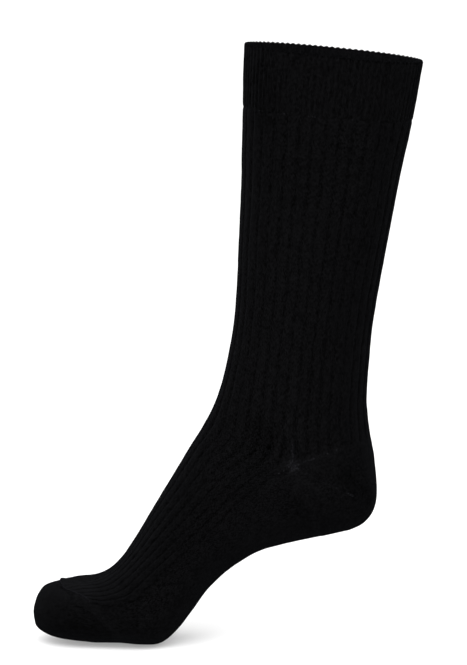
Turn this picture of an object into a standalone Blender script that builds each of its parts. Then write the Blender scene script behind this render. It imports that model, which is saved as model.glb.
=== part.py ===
"""Mid-calf rib-knit sock, filled out as on a leg that stands on the ball of the foot.

A sock is knitted in one go as a tube of courses, all of them hung on the same needles:
a fine-ribbed cuff, a wide-ribbed leg, a heel pocket on the back half of the needles, a foot
with ribs over the instep and a plain sole, and a toe pocket that is linked to the instep.
Each stretch is its own closed solid, a wall of real thickness with its ribs raised outside.

Frame: metres, +Z up, +X towards the heel, -X towards the toe, Y from side to side.
The origin is the centre of the leg opening. The tables below are in millimetres.
"""

from collections import namedtuple

import bmesh
import bpy
import numpy as np

MM = 0.001

# Knitting: the same needles all the way from the cuff to the toe.
RIBS = 34  # wide ribs round the leg, of which half go on over the instep
NEEDLES_PER_RIB = 5  # four knit needles and one purl needle
CUFF_RIBS = RIBS * NEEDLES_PER_RIB // 2  # one knit, one purl
HALF_RIBS = RIBS // 2
PLAIN_PER_RIB = 2  # points along a plain stretch as wide as one rib

# Walls, measured inwards from the crowns of the ribs.
LEG_WALL = 1.9
CUFF_WALL = 2.2  # the cuff is turned over elastic, so it is thicker
PLAIN_WALL = 1.7
RIB_DEPTH = 0.8
CUFF_RIB_DEPTH = 0.6
LIP_DROP = 0.9  # height over which the cuff's top edge rounds over
LIP_INSET = 0.7
SEAM_GAP = 0.3
CORNER_CLEAR = 2.0  # the heel's courses stop this far short of the corners where they meet

# One rib from groove to groove: place along it, and height of the knit as a share of its depth.
RibPoint = namedtuple("RibPoint", "place height")
RIB_PROFILE = (
    RibPoint(0.00, 0.00),
    RibPoint(0.13, 0.85),
    RibPoint(0.35, 1.00),
    RibPoint(0.65, 1.00),
    RibPoint(0.87, 0.85),
)

# A course of the tube, seen from the side, runs straight from its front point to its side point
# and on to its back point. Across the leg it is rounded. Fullness is 2 for an ellipse and more
# for a squarer section, above and below the widest place. Side rise is how far the side point
# lies above that place, as a share of the way to the front. Bow is how far the middle of the
# front half runs ahead of its ends, towards the toe.
Course = namedtuple(
    "Course",
    "front_x front_z side_x side_z back_x back_z half_width front_fullness back_fullness"
    " side_rise bow",
)
LEG_COURSES = (
    Course(-59.5, 6.0, 0.0, 0.0, 59.5, -6.0, 44.0, 2.1, 2.3, 0, 0),  # top edge
    Course(-60.5, -36.0, -4.0, -40.5, 52.0, -45.0, 42.5, 2.1, 2.2, 0, 0),  # end of the cuff
    Course(-61.0, -72.0, -8.0, -76.0, 45.0, -79.5, 40.0, 2.1, 2.1, 0, 0),
    Course(-62.5, -119.0, -13.0, -121.5, 36.5, -123.5, 37.0, 2.1, 2.1, 0, 0),
    Course(-64.0, -157.0, -17.0, -159.5, 30.0, -159.0, 34.5, 2.1, 2.1, 0, 0),
    Course(-66.5, -183.0, -20.0, -187.0, 26.0, -184.0, 33.5, 2.1, 2.1, 0, 0),
    Course(-70.5, -206.5, -22.5, -213.5, 23.5, -208.0, 33.2, 2.1, 2.1, 0, 0),
    Course(-76.5, -228.0, -25.0, -243.0, 22.5, -232.5, 34.0, 2.1, 2.1, 0, 0),
    Course(-84.5, -247.0, -27.0, -273.0, 25.0, -258.5, 35.0, 2.1, 2.1, 0, 0),  # heel begins
)
FOOT_COURSES = (
    Course(-84.5, -247.0, -27.0, -273.0, -8.5, -325.0, 35.0, 2.1, 2.3, 0, 0),  # heel ends
    Course(-96.0, -266.5, -45.0, -283.5, -30.0, -329.5, 34.9, 2.1, 2.3, 0, 0),
    Course(-111.5, -291.5, -61.5, -295.5, -49.5, -335.0, 34.8, 2.1, 2.3, 0, 0),
    Course(-121.5, -308.0, -79.5, -314.5, -70.0, -347.5, 36.3, 2.1, 2.4, 0.05, 0),
    Course(-131.0, -324.5, -96.0, -328.5, -84.0, -360.0, 39.2, 2.1, 2.5, 0.1, 2),
    Course(-139.5, -338.0, -110.0, -340.0, -94.5, -374.0, 42.5, 2.1, 2.6, 0.2, 4),
    Course(-147.5, -347.0, -122.0, -352.5, -104.0, -386.5, 45.4, 2.2, 2.7, 0.25, 7),
    Course(-157.5, -353.0, -133.0, -362.0, -115.0, -395.5, 47.0, 2.3, 2.8, 0.3, 10),
    Course(-170.0, -356.0, -149.0, -366.0, -128.5, -396.5, 46.2, 2.3, 2.9, 0.35, 12),
    Course(-183.0, -358.0, -162.0, -364.5, -142.0, -395.5, 43.5, 2.3, 2.9, 0.4, 15),  # toe begins
    Course(-189.0, -359.3, -174.5, -367.0, -158.0, -395.5, 42.0, 2.3, 2.8, 0.4, 9),
    Course(-194.5, -362.3, -184.0, -370.0, -171.5, -394.5, 39.0, 2.25, 2.65, 0.35, 5),
    Course(-198.2, -366.7, -191.0, -373.0, -183.5, -393.0, 34.0, 2.2, 2.5, 0.3, 2.5),
    Course(-200.0, -371.5, -195.5, -375.0, -192.0, -390.8, 26.5, 2.2, 2.3, 0.2, 1),
    Course(-200.8, -375.5, -199.5, -377.5, -198.0, -386.0, 15.5, 2.1, 2.1, 0.1, 0),
    Course(-200.5, -380.0, -200.5, -380.0, -200.5, -380.0, 0.0, 2.0, 2.0, 0, 0),  # tip
)
TOE_BEGINS = 9  # its row in the table above

# The heel pocket's courses all hang between the same two side points, where the leg's last
# course has them. Angle is the way each one leans from there, upwards from +X, and reach is how
# far it stands out at the middle of the heel.
Lean = namedtuple("Lean", "angle reach fullness")
HEEL_LEANS = (
    Lean(15.6, 54.0, 2.1),
    Lean(7.0, 53.8, 2.1),
    Lean(-1.7, 54.5, 2.1),
    Lean(-10.0, 56.2, 2.15),
    Lean(-17.7, 59.0, 2.2),
    Lean(-25.0, 62.0, 2.2),
    Lean(-33.1, 64.5, 2.2),
    Lean(-41.7, 64.5, 2.2),
    Lean(-50.0, 61.8, 2.2),
    Lean(-59.5, 57.8, 2.25),
    Lean(-70.4, 55.2, 2.3),
)

# Rows of faces along each stretch.
CUFF_STEPS = 3
LEG_STEPS = 9
FOOT_STEPS = 11
HEEL_STEPS = 9
TOE_STEPS = 8

KNIT_BLACK = (0.0045, 0.0045, 0.0052, 1.0)
KNIT_ROUGHNESS = 0.9
ARC_POINTS = 720  # points along a quarter section, from which even shares are read
RISE_POINTS = 90  # and along the short stretch between a side point and the widest place
NUDGE = 1e-3  # step of the numerical slopes, in rows and in shares of a half course


def smooth_row(table, place, came_from=None, goes_on_to=None):
    """A row between the rows of a table, on a curve that passes through all of them. The rows
    beyond the table's ends, where there are any, set the slopes that the curve has there."""
    rows = np.array(table)
    last = len(rows) - 1
    low = min(int(place), last - 1)
    before, start, end, after = (rows[min(max(low + k, 0), last)] for k in (-1, 0, 1, 2))
    if low == 0:
        before = 2 * start - end if came_from is None else np.array(came_from)
    if low == last - 1:
        after = 2 * end - start if goes_on_to is None else np.array(goes_on_to)
    t = place - low
    return (
        (2 * t**3 - 3 * t**2 + 1) * start
        + (t**3 - 2 * t**2 + t) * (end - before) / 2
        + (3 * t**2 - 2 * t**3) * end
        + (t**3 - t**2) * (after - start) / 2
    )


def along_curve(points, shares):
    """Points at shares of the length of a curve."""
    steps = np.linalg.norm(np.diff(points, axis=0), axis=1)
    length = np.concatenate([[0.0], np.cumsum(steps)])
    return np.column_stack([np.interp(shares * length[-1], length, p) for p in points.T])


def rounded(fullness, turn):
    """Width and height, each from 0 to 1, of a rounded quarter section at an angle from its side."""
    return np.cos(turn) ** (2 / fullness), np.sin(turn) ** (2 / fullness)


class Tube:
    """A stretch of whole courses."""

    def __init__(self, table, came_from=None, goes_on_to=None):
        self.table = table
        self.came_from = came_from
        self.goes_on_to = goes_on_to

    def half(self, course, front):
        """The curve of half a course, from its side point at +Y round to its side point at -Y."""
        c = course._replace(side_rise=max(course.side_rise, 0.0))
        side = np.array([c.side_x, c.side_z])
        quarter = np.linspace(0.0, np.pi / 2, ARC_POINTS)
        width, height = rounded(c.front_fullness if front else c.back_fullness, quarter)
        if front:
            width_at_side = (1 - c.side_rise**c.front_fullness) ** (1 / c.front_fullness)
            kept = height > c.side_rise
            width = np.concatenate([[width_at_side], width[kept]])
            share = np.concatenate([[0.0], (height[kept] - c.side_rise) / (1 - c.side_rise)])
            bow = np.array([-c.bow, 0.0])
            reach = np.array([c.front_x, c.front_z]) - side - bow
            seen = side + share[:, None] * reach + share[:, None] ** 2 * bow
        else:
            above = np.linspace(c.side_rise, 0.0, RISE_POINTS, endpoint=False)
            width_above = (1 - above**c.front_fullness) ** (1 / c.front_fullness)
            width = np.concatenate([width_above, width])
            share = np.concatenate([c.side_rise - above, c.side_rise + height])
            share /= 1 + c.side_rise
            seen = side + share[:, None] * (np.array([c.back_x, c.back_z]) - side)
        near = np.column_stack([seen[:, 0], c.half_width * width, seen[:, 1]])
        far = near[-2::-1] * (1, -1, 1)
        return np.concatenate([near, far])

    def points(self, place, shares):
        """Points at shares of a course: 0 to 1 over the front, 1 to 2 round the back."""
        course = Course(*smooth_row(self.table, place, self.came_from, self.goes_on_to))
        shares = shares % 2
        over = shares < 1
        found = np.empty((len(shares), 3))
        found[over] = along_curve(self.half(course, True), shares[over])
        found[~over] = along_curve(self.half(course, False)[::-1], shares[~over] - 1)
        return found


class HeelPocket:
    """Half courses that all hang between the two side points of one course."""

    def __init__(self, table, course):
        self.table = table
        self.side = np.array([course.side_x, course.side_z])
        self.half_width = course.half_width

    def reach(self, lean):
        """The way from the side points out to the middle of a course."""
        angle = np.radians(lean.angle)
        return lean.reach * np.array([np.cos(angle), np.sin(angle)])

    def points(self, place, shares):
        """Points at shares of a half course, from its corner at -Y round to the one at +Y."""
        lean = Lean(*smooth_row(self.table, place))
        width, height = rounded(lean.fullness, np.linspace(0.0, np.pi / 2, ARC_POINTS))
        seen = self.side + height[:, None] * self.reach(lean)
        near = np.column_stack([seen[:, 0], -self.half_width * width, seen[:, 1]])
        far = near[-2::-1] * (1, -1, 1)
        return along_curve(np.concatenate([near, far]), shares)


HEEL = HeelPocket(HEEL_LEANS, LEG_COURSES[-1])


def beside_heel(course, lean):
    """The course next to the heel's edge, with its back half in the heel."""
    back_x, back_z = HEEL.side + HEEL.reach(lean)
    return course._replace(back_x=back_x, back_z=back_z)


LEG = Tube(LEG_COURSES, goes_on_to=beside_heel(FOOT_COURSES[1], HEEL_LEANS[1]))
FOOT = Tube(FOOT_COURSES, came_from=beside_heel(LEG_COURSES[-2], HEEL_LEANS[-2]))


def frame_of(panel, place, shares):
    """Points of a course, with the way across it within the cloth and the way out of the cloth."""
    last = len(panel.table) - 1
    onward = panel.points(min(place + NUDGE, last), shares)
    onward -= panel.points(max(place - NUDGE, 0.0), shares)
    round_it = panel.points(place, shares + NUDGE) - panel.points(place, shares - NUDGE)
    round_it /= np.linalg.norm(round_it, axis=1)[:, None]
    out = np.cross(onward, round_it)
    out /= np.linalg.norm(out, axis=1)[:, None]
    return panel.points(place, shares), np.cross(round_it, out), out


def skin(panel, places, shares, depths, drawn_ends):
    """Rows of points on a panel. Each row is sunk by its depths, and the first and last are drawn
    back from the seams there."""
    rows = []
    for n, place in enumerate(places):
        points, across, out = frame_of(panel, place, shares)
        drawn = drawn_ends[0] * (n == 0) - drawn_ends[1] * (n == len(places) - 1)
        rows.append(points + across * drawn * SEAM_GAP / 2 - out * depths[n][:, None])
    return rows


def knit_material(name):
    """Black cotton knit: nearly no colour, and no gloss."""
    material = bpy.data.materials.new(name)
    material.use_nodes = True
    shader = material.node_tree.nodes["Principled BSDF"]
    shader.inputs["Base Color"].default_value = KNIT_BLACK
    shader.inputs["Roughness"].default_value = KNIT_ROUGHNESS
    shader.inputs["Metallic"].default_value = 0.0
    return material


def close_edge(bm, over, under, sectors):
    """Triangles that close a seam edge between its outer and inner points, in even steps."""
    a = b = 0
    for outer_steps, inner_steps in sectors:
        i = j = 0
        while i < outer_steps or j < inner_steps:
            corners = [over[(a + i) % len(over)], under[(b + j) % len(under)]]
            if (i + 0.5) / outer_steps <= (j + 0.5) / inner_steps:
                i += 1
                corners.append(over[(a + i) % len(over)])
            else:
                j += 1
                corners.append(under[(b + j) % len(under)])
            bm.faces.new(corners)
        a += outer_steps
        b += inner_steps


def cloth(name, outer, inner, sectors, closed_round=True, tips=()):
    """A wall between an outer and an inner skin, which are rows of points in millimetres.

    Sectors give the steps that the outer and inner edges take over each stretch of a seam edge.
    Where tips are given, an outer and an inner point, the last rows close on them.
    """
    bm = bmesh.new()
    outside, inside = (
        [[bm.verts.new(point * MM) for point in row] for row in rows] for rows in (outer, inner)
    )
    for rows in (outside, inside):
        count = len(rows[0])
        for upper, lower in zip(rows, rows[1:]):
            for i in range(count if closed_round else count - 1):
                j = (i + 1) % count
                bm.faces.new((upper[i], upper[j], lower[j], lower[i]))
    for edge in (0,) if tips else (0, -1):
        close_edge(bm, outside[edge], inside[edge], sectors)
    for rows, tip in zip((outside, inside), tips):
        top = bm.verts.new(tip * MM)
        for i in range(len(rows[-1])):
            bm.faces.new((rows[-1][i], rows[-1][(i + 1) % len(rows[-1])], top))
    if not closed_round:
        for side in (0, -1):
            for n in range(len(outside) - 1):
                corner = (outside[n], outside[n + 1], inside[n + 1], inside[n])
                bm.faces.new([row[side] for row in corner])
    bmesh.ops.recalc_face_normals(bm, faces=bm.faces)
    mesh = bpy.data.meshes.new(name)
    bm.to_mesh(mesh)
    bm.free()
    mesh.materials.append(knit_material(name))
    obj = bpy.data.objects.new(name, mesh)
    bpy.context.scene.collection.objects.link(obj)


def ribbed_half(start):
    """Shares and depths of half a course of wide ribs, from groove to groove."""
    shares = [start + (n + p.place) / HALF_RIBS for n in range(HALF_RIBS) for p in RIB_PROFILE]
    depths = [RIB_DEPTH * (1 - p.height) for _ in range(HALF_RIBS) for p in RIB_PROFILE]
    return shares, depths


def plain_half(start):
    """Shares of half a course of plain knitting."""
    count = HALF_RIBS * PLAIN_PER_RIB
    return [start + n / count for n in range(count)]


def make_cuff():
    """One-and-one rib, turned over at the top edge."""
    count = 2 * CUFF_RIBS
    shares = 2 * np.arange(count) / count
    groove = CUFF_RIB_DEPTH * (np.arange(count) % 2)
    height = LEG_COURSES[0].side_z - LEG_COURSES[1].side_z
    places = [0.0, LIP_DROP / height, *np.linspace(0, 1, CUFF_STEPS + 1)[1:]]
    depths = [groove + (LIP_INSET if n == 0 else 0) for n in range(len(places))]
    walls = [np.full(CUFF_RIBS, CUFF_WALL) for _ in places]
    outer = skin(LEG, places, shares, depths, (0, 1))
    inner = skin(LEG, places, shares[::2], walls, (0, 1))
    cloth("cuff", outer, inner, [(2, 1)] * CUFF_RIBS)


def make_leg():
    """Wide ribs all round, down to the point on each side where the heel begins."""
    front, front_depths = ribbed_half(0)
    back, back_depths = ribbed_half(1)
    shares = np.array(front + back)
    inner_shares = np.array(plain_half(0) + plain_half(1))
    places = np.linspace(1, len(LEG_COURSES) - 1, LEG_STEPS + 1)
    depths = [np.array(front_depths + back_depths)] * len(places)
    walls = [np.full(len(inner_shares), LEG_WALL)] * len(places)
    outer = skin(LEG, places, shares, depths, (1, 1))
    inner = skin(LEG, places, inner_shares, walls, (1, 1))
    cloth("leg", outer, inner, [(len(RIB_PROFILE), PLAIN_PER_RIB)] * RIBS)


def make_foot():
    """Ribs over the instep, and a plain sole down to the ball of the foot on the ground."""
    instep, rib_depths = ribbed_half(0)
    sole = plain_half(1)
    shares = np.array(instep + sole)
    inner_shares = np.array(plain_half(0) + sole)
    places = np.linspace(0, TOE_BEGINS, FOOT_STEPS + 1)
    depths = [np.array(rib_depths + [RIB_DEPTH] + [0.0] * (len(sole) - 1))] * len(places)
    walls = [np.full(len(inner_shares), LEG_WALL)] * len(places)
    outer = skin(FOOT, places, shares, depths, (1, 1))
    inner = skin(FOOT, places, inner_shares, walls, (1, 1))
    instep_sectors = [(len(RIB_PROFILE), PLAIN_PER_RIB)] * HALF_RIBS
    sole_sectors = [(PLAIN_PER_RIB, PLAIN_PER_RIB)] * HALF_RIBS
    cloth("foot", outer, inner, instep_sectors + sole_sectors)


def make_heel():
    """A plain pocket on the back half of the needles."""
    stop = CORNER_CLEAR / (2 * HEEL.half_width)
    shares = np.array([stop] + plain_half(0)[1:] + [1 - stop])
    places = np.linspace(0, len(HEEL_LEANS) - 1, HEEL_STEPS + 1)
    flat = [np.zeros(len(shares))] * len(places)
    walls = [np.full(len(shares), PLAIN_WALL)] * len(places)
    outer = skin(HEEL, places, shares, flat, (1, 1))
    inner = skin(HEEL, places, shares, walls, (1, 1))
    cloth("heel", outer, inner, [(1, 1)] * (len(shares) - 1), closed_round=False)


def make_toe():
    """A plain pocket that closes at the tip."""
    shares = np.array(plain_half(0) + plain_half(1))
    places = np.linspace(TOE_BEGINS, len(FOOT_COURSES) - 1, TOE_STEPS + 1)[:-1]
    flat = [np.zeros(len(shares))] * len(places)
    walls = [np.full(len(shares), PLAIN_WALL)] * len(places)
    outer = skin(FOOT, places, shares, flat, (1, 0))
    inner = skin(FOOT, places, shares, walls, (1, 0))
    tip = np.array([FOOT_COURSES[-1].front_x, 0.0, FOOT_COURSES[-1].front_z])
    cloth("toe", outer, inner, [(1, 1)] * len(shares), tips=(tip, tip + (PLAIN_WALL, 0, 0)))


def main():
    for old in list(bpy.data.objects):
        bpy.data.objects.remove(old)
    make_cuff()
    make_leg()
    make_heel()
    make_foot()
    make_toe()


main()
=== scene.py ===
from collections import namedtuple

import bpy
import numpy as np
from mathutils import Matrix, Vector, noise


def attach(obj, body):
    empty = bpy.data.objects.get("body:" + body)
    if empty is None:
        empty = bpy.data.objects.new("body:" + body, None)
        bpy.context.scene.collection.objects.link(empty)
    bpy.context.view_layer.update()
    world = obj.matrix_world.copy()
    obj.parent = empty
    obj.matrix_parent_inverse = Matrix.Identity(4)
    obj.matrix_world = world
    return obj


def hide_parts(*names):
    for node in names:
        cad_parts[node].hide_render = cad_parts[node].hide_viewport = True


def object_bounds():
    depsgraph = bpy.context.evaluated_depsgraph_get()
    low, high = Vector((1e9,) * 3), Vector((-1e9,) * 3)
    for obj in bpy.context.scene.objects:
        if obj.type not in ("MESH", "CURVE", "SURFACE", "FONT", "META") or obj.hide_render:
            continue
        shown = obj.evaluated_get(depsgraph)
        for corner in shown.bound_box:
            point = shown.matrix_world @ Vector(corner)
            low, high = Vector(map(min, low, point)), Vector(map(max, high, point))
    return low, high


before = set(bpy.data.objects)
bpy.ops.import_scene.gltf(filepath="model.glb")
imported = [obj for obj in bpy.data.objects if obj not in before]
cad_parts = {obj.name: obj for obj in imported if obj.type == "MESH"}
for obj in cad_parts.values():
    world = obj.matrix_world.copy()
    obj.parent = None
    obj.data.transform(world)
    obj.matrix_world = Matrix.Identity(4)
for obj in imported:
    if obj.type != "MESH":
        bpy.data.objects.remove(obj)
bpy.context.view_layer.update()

# ---------------------------------------------------------------------------------------------
# Cuff. The sock is started here: one-and-one rib of black cotton with elastic laid in, knitted
# twice as long as it shows, turned over at the top and joined to itself where the leg begins.
# Lengths are in millimetres, and all of the sock is knitted on the same needles.
# ---------------------------------------------------------------------------------------------
MM = 0.001
NEEDLES = 170  # round the sock, of which half are at the front
HALF_NEEDLES = NEEDLES // 2
FACES_PER_NEEDLE = 4
COURSE_HEIGHT = 1.2  # from one course of stitches to the next, as worn
ALL_COURSES = 400  # from the top edge to the tip of the toe

CUFF_WALL = 2.2
CUFF_RIB_DEPTH = 0.65
CUFF_INNER_RIB_DEPTH = 0.35
FINE_RIB_FULLNESS = 0.7  # below 1, so that the crowns are wider than the grooves
CUFF_ROW = 1.25  # from one row of faces to the next
CUFF_INNER_ROW = 4.0
RIM_TURNS = 7  # rows of faces over the rounded top edge
RIM_RISE = 1.9  # height of the edge over the first row of the wall
RIM_SCALLOP = 0.4  # the grooves stop lower than the crowns, by this share of the edge's rise
SEAM_ROW = 0.35  # the row next to a seam is narrow, which keeps the shading true up to it
JOIN_DIP = 0.45  # where the cuff is joined to the leg
JOIN_WIDTH = 1.0
JOIN_FADE = 2.0  # the ribs of both get shallower over this length
JOIN_KEEPS = 0.25  # down to this share of their depth
CUFF_GROOVE_PAINTED_SHADE = -0.1  # painted shade in the grooves, where less light comes out
RIM_PAINTED_SHADE = -0.4  # painted shade on the rounded top edge, which faces the light from above
INSIDE_PAINTED_LIGHT = 0.07  # painted light on the inside, which would lie in shade

# A course of the tube, seen from the side, runs straight from its front point to its side point
# and on to its back point. Across the leg it is rounded. Fullness is 2 for an ellipse and more
# for a squarer section, above and below the widest place. Side rise is how far the side point
# lies above that place, as a share of the way to the front. Bow is how far the middle of the
# front half runs ahead of its ends, towards the toe.
Course = namedtuple(
    "Course",
    "front_x front_z side_x side_z back_x back_z half_width front_fullness back_fullness"
    " side_rise bow",
)
LEG_COURSES = (
    Course(-59.5, 6.0, 0.0, 0.0, 59.5, -6.0, 44.0, 2.1, 2.3, 0, 0),  # top edge
    Course(-60.5, -36.0, -4.0, -40.5, 52.0, -45.0, 42.5, 2.1, 2.2, 0, 0),  # end of the cuff
    Course(-61.0, -72.0, -8.0, -76.0, 45.0, -79.5, 40.0, 2.1, 2.1, 0, 0),
    Course(-62.5, -119.0, -13.0, -121.5, 36.5, -123.5, 37.0, 2.1, 2.1, 0, 0),
    Course(-64.0, -157.0, -17.0, -159.5, 30.0, -159.0, 34.5, 2.1, 2.1, 0, 0),
    Course(-66.5, -183.0, -20.0, -187.0, 26.0, -184.0, 33.5, 2.1, 2.1, 0, 0),
    Course(-70.5, -206.5, -22.5, -213.5, 23.5, -208.0, 33.2, 2.1, 2.1, 0, 0),
    Course(-76.5, -228.0, -25.0, -243.0, 22.5, -232.5, 34.0, 2.1, 2.1, 0, 0),
    Course(-84.5, -247.0, -27.0, -273.0, 25.0, -258.5, 35.0, 2.1, 2.1, 0, 0),  # heel begins
)
PAST_LEG = Course(-96.0, -266.5, -45.0, -283.5, 26.4, -266.4, 34.9, 2.1, 2.3, 0, 0)

ARC_POINTS = 720  # along a quarter section, from which even shares are read
RISE_POINTS = 90  # along the short stretch between a side point and the widest place
NUDGE = 1e-3  # step of the numerical slopes, in rows and in shares of a half course
FINE_STEPS = 240  # along a panel, from which even rows are read
FINE_LINES = 8  # lines round it, whose steps are averaged


def smooth_row(table, place, came_from=None, goes_on_to=None):
    """A row between the rows of a table, on a curve that passes through all of them. The rows
    beyond the table's ends, where there are any, set the slopes that the curve has there."""
    rows = np.array(table)
    last = len(rows) - 1
    low = min(int(place), last - 1)
    before, start, end, after = (rows[min(max(low + k, 0), last)] for k in (-1, 0, 1, 2))
    if low == 0:
        before = 2 * start - end if came_from is None else np.array(came_from)
    if low == last - 1:
        after = 2 * end - start if goes_on_to is None else np.array(goes_on_to)
    t = place - low
    return (
        (2 * t**3 - 3 * t**2 + 1) * start
        + (t**3 - 2 * t**2 + t) * (end - before) / 2
        + (3 * t**2 - 2 * t**3) * end
        + (t**3 - t**2) * (after - start) / 2
    )


def length_along(points):
    """Length from the first point of a curve to each of its points."""
    return np.concatenate([[0.0], np.cumsum(np.linalg.norm(np.diff(points, axis=0), axis=1))])


def along_curve(points, shares):
    """Points at shares of the length of a curve."""
    length = length_along(points)
    return np.column_stack([np.interp(shares * length[-1], length, p) for p in points.T])


def rounded(fullness, turn):
    """Width and height, from 0 to 1, of a rounded quarter section at an angle from its side."""
    return np.cos(turn) ** (2 / fullness), np.sin(turn) ** (2 / fullness)


class Tube:
    """A stretch of whole courses."""

    def __init__(self, table, came_from=None, goes_on_to=None):
        self.table = table
        self.came_from = came_from
        self.goes_on_to = goes_on_to

    def half(self, course, front):
        """The curve of half a course, from its side point at +Y round to its side point at -Y."""
        c = course._replace(side_rise=max(course.side_rise, 0.0))  # between rows it may dip
        side = np.array([c.side_x, c.side_z])
        quarter = np.linspace(0.0, np.pi / 2, ARC_POINTS)
        width, height = rounded(c.front_fullness if front else c.back_fullness, quarter)
        if front:
            width_at_side = (1 - c.side_rise**c.front_fullness) ** (1 / c.front_fullness)
            kept = height > c.side_rise
            width = np.concatenate([[width_at_side], width[kept]])
            share = np.concatenate([[0.0], (height[kept] - c.side_rise) / (1 - c.side_rise)])
            bow = np.array([-c.bow, 0.0])
            reach = np.array([c.front_x, c.front_z]) - side - bow
            seen = side + share[:, None] * reach + share[:, None] ** 2 * bow
        else:
            above = np.linspace(c.side_rise, 0.0, RISE_POINTS, endpoint=False)
            width_above = (1 - above**c.front_fullness) ** (1 / c.front_fullness)
            width = np.concatenate([width_above, width])
            share = np.concatenate([c.side_rise - above, c.side_rise + height])
            share /= 1 + c.side_rise
            seen = side + share[:, None] * (np.array([c.back_x, c.back_z]) - side)
        near = np.column_stack([seen[:, 0], c.half_width * width, seen[:, 1]])
        far = near[-2::-1] * (1, -1, 1)
        return np.concatenate([near, far])

    def points(self, place, shares):
        """Points at shares of a course: 0 to 1 over the front, 1 to 2 round the back."""
        course = Course(*smooth_row(self.table, place, self.came_from, self.goes_on_to))
        shares = shares % 2
        over = shares < 1
        found = np.empty((len(shares), 3))
        found[over] = along_curve(self.half(course, True), shares[over])
        found[~over] = along_curve(self.half(course, False)[::-1], shares[~over] - 1)
        return found


LEG = Tube(LEG_COURSES, goes_on_to=PAST_LEG)


def unit(ways):
    return ways / np.linalg.norm(ways, axis=1)[:, None]


def frame_of(panel, place, shares):
    """Points of a course, and the ways round it, onward to the next one and out of the cloth."""
    last = len(panel.table) - 1
    onward = panel.points(min(place + NUDGE, last), shares)
    onward -= panel.points(max(place - NUDGE, 0.0), shares)
    round_it = unit(panel.points(place, shares + NUDGE) - panel.points(place, shares - NUDGE))
    out = unit(np.cross(onward, round_it))
    return panel.points(place, shares), round_it, np.cross(round_it, out), out


def even_rows(panel, first, last, spacing, seams=True):
    """Rows of faces on a panel, at an even distance on average round it. Gives their places, and
    their distances from the first."""
    fine = np.linspace(first, last, FINE_STEPS + 1)
    shares = np.arange(FINE_LINES) * 2 / FINE_LINES
    lines = np.array([panel.points(place, shares) for place in fine])
    steps = np.linalg.norm(np.diff(lines, axis=0), axis=2).mean(axis=1)
    reached = np.concatenate([[0.0], np.cumsum(steps)])
    spots = np.linspace(0, reached[-1], int(round(reached[-1] / spacing)) + 1)
    if seams:
        spots = np.sort(np.append(spots, [SEAM_ROW, reached[-1] - SEAM_ROW]))
    return np.interp(spots, reached, fine), spots


def ease(x):
    """A smooth step from 0 to 1 as x goes from 0 to 1."""
    x = np.clip(x, 0, 1)
    return x * x * (3 - 2 * x)


def swell(distance, width):
    """The height of a soft ridge, 1 on its line."""
    return np.exp(-((distance / width) ** 2))


Unevenness = namedtuple("Unevenness", "height size seed")
SWELLS = Unevenness(0.55, 36.0, 3)  # the cloth rises and sinks a little
RUMPLES = Unevenness(0.16, 7.0, 11)
DRIFT = Unevenness(0.6, 26.0, 29)  # its ribs wander aside, but not at the heel's two corners
CORNER = (-27.0, 35.0, -273.0)  # where leg, heel and foot meet, on both sides
CORNER_STILL = 14.0  # this far off they wander fully
NAP = 0.4  # stands over the form


def uneven(points, kind):
    """Smooth unevenness, up to its height either way, in swells of its size."""
    shift = Vector((kind.seed, 0, 0))
    return kind.height * np.array([noise.noise(Vector(p) / kind.size + shift) for p in points])


def from_corner(points):
    """Distance from the nearer one of the heel's two corners."""
    return np.linalg.norm(points * (1, 0, 1) + np.abs(points) * (0, 1, 0) - CORNER, axis=1)


Fold = namedtuple("Fold", "width height line")
# Painted light on the ridges of folds, and painted shade in their hollows.
RIDGE_PAINTED_LIGHT = 0.13  # for each millimetre of a fold's height, up to the full height
HOLLOW_PAINTED_SHADE = 0.09
FOLD_PAINTED_SHADE_FULL = 1.6
PAINTED_LIGHT_AND_SHADE_PATCHES = (
    # lines on the side with painted light where the cloth looks lighter, and painted shade where
    # it looks darker. Their height is that painted tone: light above 0, shade below.
    Fold(13.0, -0.15, ((-49.0, -26.0, -12.0), (-46.0, -28.0, -34.0))),
    Fold(26.0, 0.07, ((-22.0, -39.0, -120.0), (-38.0, -34.0, -238.0))),
    Fold(13.0, 0.08, ((-50.0, -32.0, -318.0), (-30.0, -28.0, -312.0), (-8.0, -26.0, -305.0))),
    Fold(21.0, -0.06, ((-142.0, -43.0, -366.0), (-122.0, -40.0, -344.0), (-97.0, -35.0, -308.0))),
    Fold(7.0, 0.16, ((-163.0, -14.0, -354.5), (-153.0, -18.0, -351.0))),
    Fold(11.0, -0.12, ((-199.0, 0.0, -372.0), (-196.0, -16.0, -371.0))),
)


def folded(points, folds):
    """Height of the folds at each point. Each one is a soft ridge or hollow on a line."""
    height = np.zeros(len(points))
    for fold in folds:
        nearest = np.full(len(points), np.inf)
        for start, end in zip(fold.line, fold.line[1:]):
            way = np.array(end) - start
            along = np.clip((points - start) @ way / (way @ way), 0, 1)
            away = np.linalg.norm(points - start - along[:, None] * way, axis=1)
            nearest = np.minimum(nearest, away)
        height += fold.height * swell(nearest, fold.width)
    return height


def fold_painted_shade(points, folds):
    """Painted light where cloth stands out in a ridge, and painted shade in a hollow. The
    patches, which are alike on both sides, add their own painted light and painted shade."""
    height = np.clip(folded(points, folds), -FOLD_PAINTED_SHADE_FULL, FOLD_PAINTED_SHADE_FULL)
    near_side = points * (1, 0, 1) - np.abs(points) * (0, 1, 0)
    return np.where(height > 0, RIDGE_PAINTED_LIGHT, HOLLOW_PAINTED_SHADE) * height + folded(near_side, PAINTED_LIGHT_AND_SHADE_PATCHES)


def lay(course, depth, folds=(), drop=0.0):
    """A row of the cloth, sunk by its depths from the form, with its folds and unevenness. Drop
    moves it onward, to the next course."""
    points, round_it, onward, out = course
    rise = uneven(points, SWELLS) + uneven(points, RUMPLES) + folded(points, folds) + NAP - depth
    drift = uneven(points, DRIFT) * ease(from_corner(points) / CORNER_STILL)
    moved = points + out * rise[:, None] + round_it * drift[:, None]
    return moved + onward * np.reshape(drop, (-1, 1))


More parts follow.
